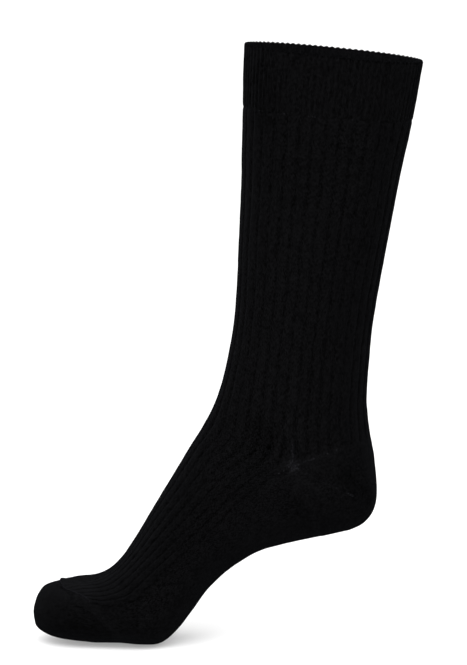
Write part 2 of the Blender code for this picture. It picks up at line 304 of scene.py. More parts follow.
class Ring:
    """The rows of points of a piece, from the outside over a seam edge to the inside and back.
    Each point has its stitch, as needle and course, and two marks: one for how far the yarn is
    drawn open, which on the inside of the cuff also carries painted light, and one for the
    painted light and painted shade that make it look lighter or darker."""

    def __init__(self):
        self.rows, self.stitches, self.pale, self.tone, self.sharp = [], [], [], [], []

    def add(self, points, stitches, pale=0.0, tone=0.0):
        self.rows.append(points)
        self.stitches.append(stitches)
        self.pale.append(pale + np.zeros(len(points)))
        self.tone.append(tone + np.zeros(len(points)))

    def turn(self):
        """The outside ends here, with a sharp edge on both sides of the seam face."""
        self.sharp += [len(self.rows) - 1, len(self.rows)]

    def close(self):
        """The same at the end, where the inside comes back to the first row."""
        for rows in (self.rows, self.stitches, self.pale, self.tone):
            rows.append(rows[0])
        self.sharp += [0, len(self.rows) - 2, len(self.rows) - 1]


def weld():
    """Closes the edges of the active piece and turns its faces outward."""
    bpy.ops.object.mode_set(mode="EDIT")
    bpy.ops.mesh.select_all(action="SELECT")
    bpy.ops.mesh.remove_doubles(threshold=1e-6)
    bpy.ops.mesh.delete_loose(use_verts=True, use_edges=True, use_faces=False)
    bpy.ops.mesh.select_all(action="SELECT")
    bpy.ops.mesh.normals_make_consistent(inside=False)
    bpy.ops.object.mode_set(mode="OBJECT")


def wrap(name, ring):
    """Wraps a flat grid round the form, row by row, and welds its edges."""
    rows, stitches = np.array(ring.rows), np.array(ring.stitches)
    along, across = rows.shape[0] - 1, rows.shape[1] - 1
    bpy.ops.object.select_all(action="DESELECT")
    bpy.ops.mesh.primitive_grid_add(x_subdivisions=across, y_subdivisions=along, size=1)
    piece = bpy.context.object
    piece.name = name
    mesh = piece.data
    flat = np.empty(3 * len(mesh.vertices), np.float32)
    mesh.vertices.foreach_get("co", flat)
    column = np.rint((flat[0::3] + 0.5) * across).astype(int)
    row = np.rint((flat[1::3] + 0.5) * along).astype(int)
    mesh.vertices.foreach_set("co", (rows[row, column] * MM).astype(np.float32).ravel())
    corners = np.empty(len(mesh.loops), np.int32)
    mesh.loops.foreach_get("vertex_index", corners)
    chart = stitches[row[corners], column[corners]].astype(np.float32)
    mesh.uv_layers[0].name = "stitches"
    mesh.uv_layers[0].uv.foreach_set("vector", chart.ravel())
    ends = np.empty(2 * len(mesh.edges), np.int32)
    mesh.edges.foreach_get("vertices", ends)
    ends = row[ends.reshape(-1, 2)]
    sharp = (ends[:, 0] == ends[:, 1]) & np.isin(ends[:, 0], ring.sharp)
    mesh.shade_smooth()
    mesh.attributes.new("sharp_edge", "BOOLEAN", "EDGE").data.foreach_set("value", sharp)
    for mark, values in (("pale", ring.pale), ("tone", ring.tone)):
        values = np.array(values)[row, column].astype(np.float32)
        mesh.attributes.new(mark, "FLOAT", "POINT").data.foreach_set("value", values)
    weld()
    return piece


def numbered(needles, spot):
    """Where needles are on the chart of stitches, by their distance from the top edge."""
    course = np.broadcast_to(spot / COURSE_HEIGHT, len(needles))
    return np.column_stack([needles / NEEDLES, course / ALL_COURSES])


def every_other(needles):
    """1 on every other needle, and 0 on those between."""
    return 0.5 + 0.5 * np.cos(np.pi * needles)


ROUND_NEEDLES = np.linspace(0, NEEDLES, NEEDLES * FACES_PER_NEEDLE + 1)
ROUND_SHARES = ROUND_NEEDLES / HALF_NEEDLES

fine_height = every_other(ROUND_NEEDLES) ** FINE_RIB_FULLNESS
# painted shade in the grooves of the fine rib
fine_groove_painted_shade = CUFF_GROOVE_PAINTED_SHADE * (1 - fine_height)
rim_radius = CUFF_WALL / 2
rim_place = rim_radius / (LEG_COURSES[0].side_z - LEG_COURSES[1].side_z)
outer_depth = CUFF_RIB_DEPTH * (1 - fine_height)
inner_depth = CUFF_WALL - CUFF_INNER_RIB_DEPTH * fine_height

ring = Ring()
places, spots = even_rows(LEG, rim_place, 1, CUFF_ROW)
cuff_length = rim_radius + spots[-1]
for place, spot in zip(places, spots):
    left = spots[-1] - spot
    kept = JOIN_KEEPS + (1 - JOIN_KEEPS) * ease(left / JOIN_FADE)
    depth = outer_depth * kept + JOIN_DIP * swell(left, JOIN_WIDTH)
    points = lay(frame_of(LEG, place, ROUND_SHARES), depth)
    # painted shade in the grooves, and the painted light and shade of the patches
    tone = fine_groove_painted_shade + fold_painted_shade(points, ())
    ring.add(points, numbered(ROUND_NEEDLES, rim_radius + spot), tone=tone)
cuff_end = ring.rows[-1]
ring.turn()
places, spots = even_rows(LEG, rim_place, 1, CUFF_INNER_ROW, seams=False)
for place, spot in zip(places[::-1], spots[::-1]):
    points = lay(frame_of(LEG, place, ROUND_SHARES), inner_depth)
    # the inside wall gets painted light
    ring.add(points, numbered(ROUND_NEEDLES, -rim_radius - spot), INSIDE_PAINTED_LIGHT)
over_rim = frame_of(LEG, rim_place, ROUND_SHARES)
for turn in np.linspace(np.pi, 0, RIM_TURNS + 1)[1:]:
    out_share = (1 + np.cos(turn)) / 2
    depth = out_share * outer_depth + (1 - out_share) * inner_depth
    drop = -RIM_RISE * np.sin(turn) * (1 - RIM_SCALLOP * (1 - fine_height))
    chart = numbered(ROUND_NEEDLES, rim_radius * (1 - 2 * turn / np.pi))
    # painted shade in the grooves and on the top edge, and painted light on its inner side
    tone = fine_groove_painted_shade * out_share + RIM_PAINTED_SHADE * np.sin(turn)
    ring.add(lay(over_rim, depth, drop=drop), chart, INSIDE_PAINTED_LIGHT * (1 - out_share), tone)
cuff = wrap("cuff_knit", ring)

COTTON_DARK = "#010101"
COTTON_LIGHT = "#0b0b0c"
NAP_SHEEN = 0.01
NAP_SPREAD = 0.3  # roughness of the sheen
MATT = {"Roughness": 1.0, "Specular IOR Level": 0.0}
LOOP_HEIGHT = 0.2  # of the loops of yarn above the gaps between them
LOOP_SLANT = 0.9  # courses that each leg of a loop runs onward
LOOP_BEAD = 0.35  # share by which a loop's yarn rises and sinks within its course
LEG_TONES = 2.0  # across each loop, one for each of its legs
COURSE_TONES = 2.0  # along each of them
FIBRE_SIZE = 0.5  # the real fibres are far finer, and this is as fine as shows
FIBRE_SHARE = 0.8  # of the relief, against the loops
PATCH_SIZE = 4.0  # about three stitches, as knitted cloth has soft patches in its tone
PATCH_SHARE = 0.12  # of the tone, against what one loop differs from the next
LOOP_GAP_PAINTED_SHADE = 0.25  # and of the painted shade between the loops
DRAWN_YARN = "#222226"  # where a loop is drawn open, the stretch yarn in it shows, and inside the cuff it gives painted light


def linear(hex_colour):
    """An sRGB hex colour as linear red, green, blue and alpha."""
    parts = [int(hex_colour[i : i + 2], 16) / 255 for i in (1, 3, 5)]
    return [p / 12.92 if p <= 0.04045 else ((p + 0.055) / 1.055) ** 2.4 for p in parts] + [1.0]


def add(tree, kind, inputs=None, **settings):
    """Adds a node with its settings. An input is its socket's value, or the socket or node that
    feeds it."""
    node = tree.nodes.new("ShaderNode" + kind)
    for name, value in settings.items():
        setattr(node, name, value)
    for socket, value in (inputs or {}).items():
        if isinstance(value, bpy.types.Node):
            value = value.outputs[0]
        if isinstance(value, bpy.types.NodeSocket):
            tree.links.new(value, node.inputs[socket])
        else:
            node.inputs[socket].default_value = value
    return node


def bare_material(name):
    material = bpy.data.materials.new(name)
    material.use_nodes = True
    material.node_tree.nodes.clear()
    return material


def cotton_knit(name):
    """Combed cotton dyed black. It is matt, its loops differ a little in tone, and a short nap
    catches the light. Plain stitches show as columns of slanted loops. The gaps between the loops
    get painted shade, and each piece's marks add painted light and painted shade."""
    material = bare_material(name)
    tree = material.node_tree
    chart = add(tree, "UVMap", uv_map="stitches")
    # counted in needles and courses, with each needle at the middle of its loops
    count = {"Vector": chart, "Scale": (NEEDLES, ALL_COURSES, 1), "Location": (0.5, 0, 0)}
    along = add(tree, "SeparateXYZ", {0: add(tree, "Mapping", count)})
    across = add(tree, "Math", {0: along}, operation="FRACT")
    aside = add(tree, "Math", {0: across, 1: 0.5}, operation="SUBTRACT")
    aside = add(tree, "Math", {0: aside}, operation="ABSOLUTE")
    slant = {0: aside, 1: -2 * LOOP_SLANT, 2: along.outputs[1]}
    onward = add(tree, "Math", slant, operation="MULTIPLY_ADD")

    turn = add(tree, "Math", {0: onward, 1: 2 * np.pi}, operation="MULTIPLY")
    strand = add(tree, "Math", {0: turn}, operation="COSINE")
    bead = {0: strand, 1: LOOP_BEAD, 2: 1 - LOOP_BEAD}
    strand = add(tree, "Math", bead, operation="MULTIPLY_ADD")
    leg = add(tree, "Math", {0: aside, 1: 2 * np.pi}, operation="MULTIPLY")
    leg = add(tree, "Math", {0: leg}, operation="SINE")
    loop = add(tree, "Math", {0: leg, 1: strand}, operation="MULTIPLY")
    place = add(tree, "TexCoord").outputs["Object"]
    fibres = {"Vector": place, "Scale": 1 / (FIBRE_SIZE * MM), "Detail": 3.0}
    height = {0: add(tree, "TexNoise", fibres), 1: FIBRE_SHARE, 2: loop}
    height = add(tree, "Math", height, operation="MULTIPLY_ADD")
    relief = add(tree, "Bump", {"Strength": 1.0, "Distance": LOOP_HEIGHT * MM, "Height": height})

    needle = add(tree, "Math", {0: along, 1: LEG_TONES}, operation="MULTIPLY")
    needle = add(tree, "Math", {0: needle}, operation="FLOOR")
    course = add(tree, "Math", {0: onward, 1: COURSE_TONES}, operation="MULTIPLY")
    course = add(tree, "Math", {0: course}, operation="FLOOR")
    stitch = add(tree, "CombineXYZ", {0: needle, 1: course})
    tone = add(tree, "TexWhiteNoise", {"Vector": stitch}, noise_dimensions="2D")
    # painted shade between the loops, added to each stitch's random tone
    shade = add(tree, "Math", {0: loop, 1: LOOP_GAP_PAINTED_SHADE, 2: tone}, operation="MULTIPLY_ADD")
    patches = {"Vector": place, "Scale": 1 / (PATCH_SIZE * MM), "Detail": 3.0}
    shade = {0: add(tree, "TexNoise", patches), 1: PATCH_SHARE, 2: shade}
    shade = add(tree, "Math", shade, operation="MULTIPLY_ADD")
    shade = {"Value": shade, "From Max": 1 + LOOP_GAP_PAINTED_SHADE + PATCH_SHARE}
    # the piece's painted light and painted shade
    painted_shading = add(tree, "Attribute", attribute_name="tone").outputs["Fac"]
    shade = add(tree, "Math", {0: add(tree, "MapRange", shade), 1: painted_shading}, operation="ADD")
    yarn = {"Factor": shade, 6: linear(COTTON_DARK), 7: linear(COTTON_LIGHT)}
    yarn = add(tree, "Mix", yarn, data_type="RGBA").outputs[2]
    # drawn-open yarn, and the painted light on the inside of the cuff
    drawn = add(tree, "Attribute", attribute_name="pale").outputs["Fac"]
    drawn = add(tree, "Math", {0: drawn, 1: loop}, operation="MULTIPLY")
    yarn = {"Factor": drawn, 6: yarn, 7: linear(DRAWN_YARN)}
    cotton = {
        **MATT,
        "Base Color": add(tree, "Mix", yarn, data_type="RGBA").outputs[2],
        "Sheen Weight": NAP_SHEEN,
        "Sheen Roughness": NAP_SPREAD,
        "Sheen Tint": linear("#dfe4f0"),
        "Normal": relief,
    }
    add(tree, "OutputMaterial", {"Surface": add(tree, "BsdfPrincipled", cotton)})
    return material


cuff.data.materials.append(cotton_knit("black_cotton_elastic_rib"))
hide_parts("cuff")
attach(cuff, "root")

# ---------------------------------------------------------------------------------------------
# Leg. Wide rib of the same cotton, four knit needles and one purl all round, knitted on from the
# cuff. The fit gathers it in small folds in front of the ankle and at the heel's corners.
# ---------------------------------------------------------------------------------------------
LEG_WALL = 1.9
RIB_DEPTH = 0.82
RIB_NEEDLES = 5
GROOVE_WIDTH = 0.72  # needles from the groove's middle to where it has mostly run out
# painted shade in the grooves of the wide rib
GROOVE_PAINTED_SHADE = -0.15
CROWN_ROUND = 0.35  # share of the rib's depth by which its crown is rounded
WALE_HEIGHT = 0.05  # of the column of loops on each needle
KNIT_THICKNESS = 1.3  # of the cloth itself, which goes up and down with the ribs
LEG_ROW = 2.0
LEG_INNER_ROW = 9.0
HEEL_FADE = 3.0  # the ribs run out above and below the heel over this length

CORNER_PALE = 0.5  # how far loops are drawn open at the heel's corners
CORNER_REACH = 2.6
TUCK_PALE = 0.3  # and in the tuck above them
TUCK_WIDTH = 1.3
TUCK_HEIGHT = 20.0
TUCK_BEGINS = 3.0  # over this height it gets paler, and over the next it runs out
TUCK_ENDS = 8.0
TUCK_BREAKS = 1.1  # it comes and goes, by this angle for each millimetre, from the one below
TUCK_BREAKS_FROM = 0.6
SIDE_FROM = 25.0  # half width beyond which the cloth faces sideways

ANKLE_FOLDS = (
    # the tuck above the heel's corner, and the ridges and hollows beside it
    Fold(1.5, 1.2, ((-27.7, -34.4, -255.0), (-27.0, -34.6, -271.5))),
    Fold(2.5, 1.0, ((-39.7, -34.2, -265.9), (-33.0, -33.6, -251.2), (-29.5, -34.0, -243.5))),
    Fold(1.8, 0.9, ((-21.7, -34.6, -264.5), (-23.4, -34.2, -251.7))),
    Fold(2.0, -0.9, ((-34.0, -34.3, -268.0), (-31.0, -34.2, -256.0))),
    Fold(1.3, -0.6, ((-23.0, -34.6, -268.0), (-24.8, -34.3, -254.0))),
    # the hollow in front of the ankle, and a shallow one on the way to the instep
    Fold(8.5, -2.0, ((-50.5, -31.3, -248.5), (-43.5, -32.8, -258.0))),
    Fold(7.0, -0.7, ((-58.0, -31.5, -262.0), (-50.0, -34.0, -272.0))),
    # ridges that run from the corner: back along the end of the leg, onward and to the sole
    Fold(3.0, 1.3, ((-22.4, -34.9, -271.1), (-9.0, -33.1, -267.4), (5.0, -27.9, -263.4))),
    Fold(5.0, 0.7, ((-15.7, -34.5, -275.9), (-5.7, -32.5, -271.5), (1.0, -30.3, -268.4))),
    Fold(3.6, 0.8, ((-31.0, -34.8, -272.5), (-42.0, -34.8, -274.0))),
    Fold(3.2, 1.1, ((-31.5, -34.8, -277.0), (-44.0, -34.6, -288.0))),
    Fold(4.5, 1.2, ((-24.5, -34.8, -278.0), (-11.0, -33.3, -291.0))),
    Fold(4.0, 0.8, ((-27.0, -34.8, -279.0), (-24.0, -34.0, -293.0))),
    # the other side has its own
    Fold(1.6, 1.1, ((-27.2, 34.4, -257.0), (-27.0, 34.6, -271.5))),
    Fold(2.7, 1.0, ((-41.0, 34.0, -267.0), (-37.5, 33.8, -257.0), (-35.5, 33.6, -247.0))),
    Fold(2.0, 0.8, ((-21.0, 34.6, -263.0), (-21.8, 34.1, -247.0))),
    Fold(2.2, -0.8, ((-33.5, 34.3, -267.0), (-31.5, 34.2, -258.0))),
    Fold(8.0, -1.8, ((-54.0, 30.6, -243.0), (-46.5, 32.6, -254.0))),
    Fold(3.2, 1.2, ((-22.0, 34.9, -271.0), (-14.0, 34.3, -268.0), (-1.0, 31.0, -266.5))),
    Fold(3.4, 1.0, ((-31.5, 34.8, -277.5), (-42.0, 34.6, -290.0))),
    Fold(4.8, 1.2, ((-23.5, 34.8, -278.5), (-12.0, 33.0, -293.5))),
)


def wide_rib(needles):
    """Height of four-and-one rib, about 1 on its crowns and 0 in its grooves."""
    aside = needles % RIB_NEEDLES
    aside = np.minimum(aside, RIB_NEEDLES - aside)
    crown = 1 - (1 - 2 * aside / RIB_NEEDLES) ** 2
    return (1 - CROWN_ROUND) * (1 - swell(aside, GROOVE_WIDTH)) + CROWN_ROUND * crown


def wale_depth(needles):
    """Depth of the columns of loops, 0 on a needle and the most between two."""
    return WALE_HEIGHT * (1 - np.cos(2 * np.pi * needles)) / 2


def at_corner(points):
    """How far loops are drawn open round the heel's corners, and in the tuck above them."""
    up = points[:, 2] - CORNER[2]
    tuck = swell(np.abs(points[:, 0] - CORNER[0]), TUCK_WIDTH) * ease(up / TUCK_BEGINS)
    tuck = tuck * ease((TUCK_HEIGHT - up) / TUCK_ENDS) * (np.abs(points[:, 1]) > SIDE_FROM)
    broken = 0.5 + 0.5 * np.sin(up * TUCK_BREAKS + TUCK_BREAKS_FROM)
    fan = CORNER_PALE * swell(from_corner(points), CORNER_REACH)
    return np.clip(fan + TUCK_PALE * tuck * broken, 0, 1)


grooves = 1 - wide_rib(ROUND_NEEDLES)
wales = wale_depth(ROUND_NEEDLES)
at_back = (ROUND_SHARES >= 1) | (ROUND_SHARES == 0)  # with both side points

ring = Ring()
places, spots = even_rows(LEG, 1, len(LEG_COURSES) - 1, LEG_ROW)
leg_length = spots[-1]
for place, spot in zip(places, spots):
    fade = np.where(at_back, ease((leg_length - spot) / HEEL_FADE), 1.0)
    fade = fade * (JOIN_KEEPS + (1 - JOIN_KEEPS) * ease(spot / JOIN_FADE))
    depth = RIB_DEPTH * grooves * fade + wales + JOIN_DIP * swell(spot, JOIN_WIDTH)
    points = lay(frame_of(LEG, place, ROUND_SHARES), depth, ANKLE_FOLDS)
    # painted shade in the grooves, and painted light and shade from the folds and patches
    tone = GROOVE_PAINTED_SHADE * grooves * fade + fold_painted_shade(points, ANKLE_FOLDS)
    ring.add(points, numbered(ROUND_NEEDLES, cuff_length + spot), at_corner(points), tone)
ring.turn()
places, spots = even_rows(LEG, 1, len(LEG_COURSES) - 1, LEG_INNER_ROW, seams=False)
for place, spot in zip(places[::-1], spots[::-1]):
    depth = KNIT_THICKNESS + (LEG_WALL - KNIT_THICKNESS) * grooves
    points = lay(frame_of(LEG, place, ROUND_SHARES), depth, ANKLE_FOLDS)
    ring.add(points, numbered(ROUND_NEEDLES, cuff_length + spot))
ring.close()
leg = wrap("leg_knit", ring)
wide_rib_cotton = cotton_knit("black_cotton_wide_rib")
leg.data.materials.append(wide_rib_cotton)
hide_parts("leg")
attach(leg, "root")

# ---------------------------------------------------------------------------------------------
# Heel. A pocket of plain knitting on the back half of the needles. Its courses get shorter and
# then longer again, and where they turn, a line of drawn loops runs from each corner.
# ---------------------------------------------------------------------------------------------
PLAIN_WALL = 1.7
HEEL_ROW = 1.1
HEEL_ROW_READ = 0.3  # share of a half course at which the rows are that far apart
HEEL_GORE_ROW = 0.45  # beside the line where the courses turn
HEEL_GORE_SPREAD = 6  # degrees on each side of it
HEEL_INNER_ROW = 5.0
HEEL_SMOOTH = 3.0  # its wales run out at the corner over this length
GORE_LENGTH = 46.0
GORE_BEGINS = 4.0  # over this length it gets deeper, and over the next it runs out
GORE_ENDS = 10.0
GORE_DIP = 0.3
GORE_DIP_WIDTH = 0.7
GORE_LOOP_HEIGHT = 0.22
GORE_LOOP_WIDTH = 0.8
GORE_LOOP_ASIDE = 1.4
GORE_LOOP_PITCH = 2.6  # two courses
GORE_LOOP_PALE = 0.03

# Its courses all hang between the two corners. Angle is the way each one leans from there,
# upwards from +X, and reach is how far it stands out at the middle of the heel.
Lean = namedtuple("Lean", "angle reach fullness")
HEEL_LEANS = (
    Lean(15.6, 54.0, 2.1),
    Lean(7.0, 53.8, 2.1),
    Lean(-1.7, 54.5, 2.1),
    Lean(-10.0, 56.2, 2.15),
    Lean(-17.7, 59.0, 2.2),
    Lean(-25.0, 62.0, 2.2),
    Lean(-33.1, 64.5, 2.2),
    Lean(-41.7, 64.5, 2.2),
    Lean(-50.0, 61.8, 2.2),
    Lean(-59.5, 57.8, 2.25),
    Lean(-70.4, 55.2, 2.3),
)
GORE_ANGLE = (HEEL_LEANS[0].angle + HEEL_LEANS[-1].angle) / 2

HEEL_FOLDS = (
    # hollows on its sides, above and below the line of drawn loops
    Fold(7.5, -1.9, ((11.1, -27.0, -283.7), (19.3, -21.4, -294.7), (22.0, -18.3, -298.5))),
    Fold(8.0, -1.5, ((-27.6, -31.4, -303.3), (-22.3, -29.5, -307.0), (-12.5, -26.0, -311.5))),
    Fold(7.0, -1.6, ((11.0, 27.0, -279.0), (16.0, 24.3, -288.0), (20.0, 20.5, -296.0))),
    Fold(8.0, -1.6, ((-30.0, 31.8, -302.5), (-15.0, 28.0, -310.0))),
    # a thin crease on the near side that runs down to the sole
    Fold(1.8, 1.2, ((-17.5, -32.6, -295.0), (-15.5, -31.0, -300.0))),
    Fold(1.9, 2.2, ((-14.3, -30.0, -303.0), (-13.8, -28.6, -307.0), (-12.3, -25.6, -311.5),
                    (-11.3, -21.8, -316.3))),
)
HEEL_FORM = ANKLE_FOLDS + HEEL_FOLDS


class HeelPocket:
    """Half courses that all hang between the two side points of one course."""

    def __init__(self, table, course):
        self.table = table
        self.side = np.array([course.side_x, course.side_z])
        self.half_width = course.half_width

    def lean(self, place):
        return Lean(*smooth_row(self.table, place))

    def points(self, place, shares):
        """Points at shares of a half course, from its corner at -Y round to the one at +Y."""
        lean = self.lean(place)
        angle = np.radians(lean.angle)
        width, height = rounded(lean.fullness, np.linspace(0.0, np.pi / 2, ARC_POINTS))
        reach = lean.reach * np.array([np.cos(angle), np.sin(angle)])
        seen = self.side + height[:, None] * reach
        near = np.column_stack([seen[:, 0], -self.half_width * width, seen[:, 1]])
        far = near[-2::-1] * (1, -1, 1)
        return along_curve(np.concatenate([near, far]), shares)

    def course(self, place, shares):
        """As frame_of gives it. At the corners, where all courses meet, it faces sideways."""
        inner = np.clip(shares, 2 * NUDGE, 1 - 2 * NUDGE)
        _, round_it, onward, out = frame_of(self, place, inner)
        for corner, side in ((0.0, -1.0), (1.0, 1.0)):
            out[shares == corner] = (0.0, side, 0.0)
        return self.points(place, shares), round_it, onward, out


HEEL = HeelPocket(HEEL_LEANS, LEG_COURSES[-1])


def heel_places(spacing, gore_spacing=None):
    """Places of the pocket's rows, and closer together beside the line where courses turn."""
    fine = np.linspace(0, len(HEEL_LEANS) - 1, FINE_STEPS + 1)
    middle = np.array([HEEL.points(place, np.array([HEEL_ROW_READ]))[0] for place in fine])
    angles = np.array([HEEL.lean(place).angle for place in fine])
    reached = length_along(middle)
    density = np.full(len(fine), 1 / spacing)
    if gore_spacing:
        near_gore = np.abs(angles - GORE_ANGLE) < HEEL_GORE_SPREAD
        density[near_gore] = 1 / gore_spacing
    total = np.concatenate([[0.0], np.cumsum(np.diff(reached) * density[1:])])
    rows = np.interp(np.linspace(0, total[-1], int(round(total[-1])) + 1), total, fine)
    edge = np.interp([SEAM_ROW, reached[-1] - SEAM_ROW], reached, fine)
    return np.sort(np.append(rows, edge)) if gore_spacing else rows


def heel_chart(place, points):
    """Stitches of a row of the pocket, and its distances from the turning line and the corner.
    Near a corner the courses lie square to its wales, and at the middle they follow the rows."""
    angle = HEEL.lean(place).angle
    upper = angle > GORE_ANGLE
    turned = np.radians(HEEL_LEANS[0].angle - angle if upper else angle - HEEL_LEANS[-1].angle)
    radius = np.linalg.norm(points[:, [0, 2]] - HEEL.side, axis=1)
    length = length_along(points)
    from_side = np.minimum(length, length[-1] - length)
    pitch = length[-1] / HALF_NEEDLES
    square = 1 - ease(radius / HEEL.lean(place).reach)
    needle = (from_side - square * radius * (1 - np.cos(turned))) / pitch
    needle = np.where(length < length[-1] / 2, needle, HALF_NEEDLES - needle)
    onward = radius * (square * np.sin(turned) + (1 - square) * turned)
    from_gore = radius * np.radians(np.abs(angle - GORE_ANGLE))
    chart = numbered(HALF_NEEDLES + needle, cuff_length + leg_length + onward)
    return chart, from_gore, from_side


half_needles = np.linspace(0, HALF_NEEDLES, HALF_NEEDLES * FACES_PER_NEEDLE + 1)
half_shares = half_needles / HALF_NEEDLES

ring = Ring()
for place in heel_places(HEEL_ROW, HEEL_GORE_ROW):
    course = HEEL.course(place, half_shares)
    chart, from_gore, from_side = heel_chart(place, course[0])
    on_gore = ease(from_side / GORE_BEGINS) * ease((GORE_LENGTH - from_side) / GORE_ENDS)
    drawn = 0.5 + 0.5 * np.cos(2 * np.pi * from_side / GORE_LOOP_PITCH)
    drawn = on_gore * drawn * swell(from_gore - GORE_LOOP_ASIDE, GORE_LOOP_WIDTH)
    depth = wale_depth(half_needles) * ease(from_side / HEEL_SMOOTH)
    depth += GORE_DIP * on_gore * swell(from_gore, GORE_DIP_WIDTH) - GORE_LOOP_HEIGHT * drawn
    points = lay(course, depth, HEEL_FORM)
    pale = np.clip(at_corner(points) + GORE_LOOP_PALE * drawn, 0, 1)
    # painted light and shade from the folds and patches
    ring.add(points, chart, pale, fold_painted_shade(points, HEEL_FORM))
ring.turn()
for place in heel_places(HEEL_INNER_ROW)[::-1]:
    course = HEEL.course(place, half_shares)
    ring.add(lay(course, PLAIN_WALL, HEEL_FORM), heel_chart(place, course[0])[0])
ring.close()
heel = wrap("heel_knit", ring)
plain_cotton = cotton_knit("black_cotton_plain_knit")
heel.data.materials.append(plain_cotton)
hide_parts("heel")
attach(heel, "root")

# ---------------------------------------------------------------------------------------------
# Foot. All the needles again: the wide rib goes on over the instep, and the sole is plain. It
# ends on top in the seam that links it to the toe.
# ---------------------------------------------------------------------------------------------
INSTEP_RIB_DEPTH = 0.62  # the rib is pulled wider over the instep
INSTEP_SPREAD = 30.0  # the length over which it gets so
FOOT_ROW = 1.75
FOOT_INNER_ROW = 8.0
SEAM_FADE = 3.0  # the instep's ribs run out before the seam over this length
LINK_HEIGHT = 0.4
LINK_WIDTH = 0.8
LINK_LOOPS = 0.3  # share by which it rises and sinks from one loop to the next
LINK_ENDS = 2.0  # needles over which it runs out on each side
LINK_PALE = 0.08
HEEL_END_PALE = 0.12  # the sole's first course is drawn open too
HEEL_END_WIDTH = 1.2
INSTEP_PAINTED_LIGHT = 0.28  # painted light on the top of the instep, by the seam
INSTEP_PAINTED_LIGHT_REACH = 18.0
INSTEP_PAINTED_LIGHT_FULL = 2.0  # the more, the further the painted light goes on down the sides
SOLE_EDGE = -383.0  # height of the edge of the sole under the toes
SOLE_EDGE_PAINTED_SHADE = -0.11  # and painted shade round it, low on the toe
SOLE_EDGE_SHADE_WIDTH = 9.0

FOOT_COURSES = (
    Course(-84.5, -247.0, -27.0, -273.0, -8.5, -325.0, 35.0, 2.1, 2.3, 0, 0),  # heel ends
    Course(-96.0, -266.5, -45.0, -283.5, -30.0, -329.5, 34.9, 2.1, 2.3, 0, 0),
    Course(-111.5, -291.5, -61.5, -295.5, -49.5, -335.0, 34.8, 2.1, 2.3, 0, 0),
    Course(-121.5, -308.0, -79.5, -314.5, -70.0, -347.5, 36.3, 2.1, 2.4, 0.05, 0),
    Course(-131.0, -324.5, -96.0, -328.5, -84.0, -360.0, 39.2, 2.1, 2.5, 0.1, 2),
    Course(-139.5, -338.0, -110.0, -340.0, -94.5, -374.0, 42.5, 2.1, 2.6, 0.2, 4),
    Course(-147.5, -347.0, -122.0, -352.5, -104.0, -386.5, 45.4, 2.2, 2.7, 0.25, 7),
    Course(-157.5, -353.0, -133.0, -362.0, -115.0, -395.5, 47.0, 2.3, 2.8, 0.3, 10),
    Course(-170.0, -356.0, -149.0, -366.0, -128.5, -396.5, 46.2, 2.3, 2.9, 0.35, 12),
    Course(-183.0, -358.0, -162.0, -364.5, -142.0, -395.5, 43.5, 2.3, 2.9, 0.4, 15),  # toe begins
    Course(-189.0, -359.3, -174.5, -367.0, -158.0, -395.5, 42.0, 2.3, 2.8, 0.4, 9),
    Course(-194.5, -362.3, -184.0, -370.0, -171.5, -394.5, 39.0, 2.25, 2.65, 0.35, 5),
    Course(-198.2, -366.7, -191.0, -373.0, -183.5, -393.0, 34.0, 2.2, 2.5, 0.3, 2.5),
    Course(-200.0, -371.5, -195.5, -375.0, -192.0, -390.8, 26.5, 2.2, 2.3, 0.2, 1),
    Course(-200.8, -375.5, -199.5, -377.5, -198.0, -386.0, 15.5, 2.1, 2.1, 0.1, 0),
    Course(-200.5, -380.0, -200.5, -380.0, -200.5, -380.0, 0.0, 2.0, 2.0, 0, 0),  # tip
)
TOE_BEGINS = 9  # its row in the table above
BEFORE_FOOT = Course(-76.5, -228.0, -25.0, -243.0, 2.3, -322.8, 34.0, 2.1, 2.1, 0, 0)
FOOT = Tube(FOOT_COURSES, came_from=BEFORE_FOOT)

TOE_FOLDS = (
    # a swell on top behind the seam, and shallow hollows above the edge of the sole
    Fold(8.0, 0.8, ((-178.0, -6.0, -356.5), (-168.0, -22.0, -356.5))),
    Fold(8.0, 0.8, ((-178.0, 6.0, -356.5), (-168.0, 22.0, -356.5))),
    Fold(9.0, -0.9, ((-190.0, -31.0, -383.0), (-178.0, -39.0, -385.0), (-163.0, -43.5, -386.0))),
    Fold(9.0, -0.8, ((-188.0, 33.0, -383.0), (-170.0, 42.0, -385.0))),
    # the linked seam pulls the cloth up on each side of it
    Fold(4.0, 0.6, ((-184.7, -4.6, -358.4), (-170.8, -19.3, -357.7), (-162.0, -32.0, -358.8))),
    Fold(4.0, 0.6, ((-184.7, 4.6, -358.4), (-170.8, 19.3, -357.7), (-163.0, 31.0, -358.8))),
    # a crease over the side of the toe, and a ridge behind it, down to the sole
    Fold(2.2, -1.3, ((-181.7, -15.3, -358.6), (-179.5, -20.6, -359.1), (-177.3, -28.0, -360.6),
                     (-173.8, -34.8, -362.9))),
    Fold(2.8, 1.2, ((-170.5, -34.9, -362.1), (-165.0, -40.0, -365.2), (-159.0, -43.0, -369.6),
                    (-152.3, -43.9, -376.2), (-147.6, -44.0, -380.3))),
    # the same on the other side
    Fold(2.6, -1.2, ((-180.0, 20.0, -359.0), (-174.0, 34.6, -363.0), (-170.0, 39.4, -365.4))),
    Fold(2.8, 0.9, ((-166.0, 39.3, -364.6), (-159.0, 42.6, -368.6), (-151.0, 44.0, -377.0))),
)
TOE_ENDS = (
    # the ends of the toes fill the toe out above and below
    Fold(6.0, 0.9, ((-193.0, -20.0, -361.5), (-193.0, 20.0, -361.5))),
    Fold(5.0, 0.8, ((-199.0, -17.0, -385.0), (-199.0, 17.0, -385.0))),
)
FOOT_FOLDS = HEEL_FORM + TOE_FOLDS
TOE_FORM = FOOT_FOLDS + TOE_ENDS


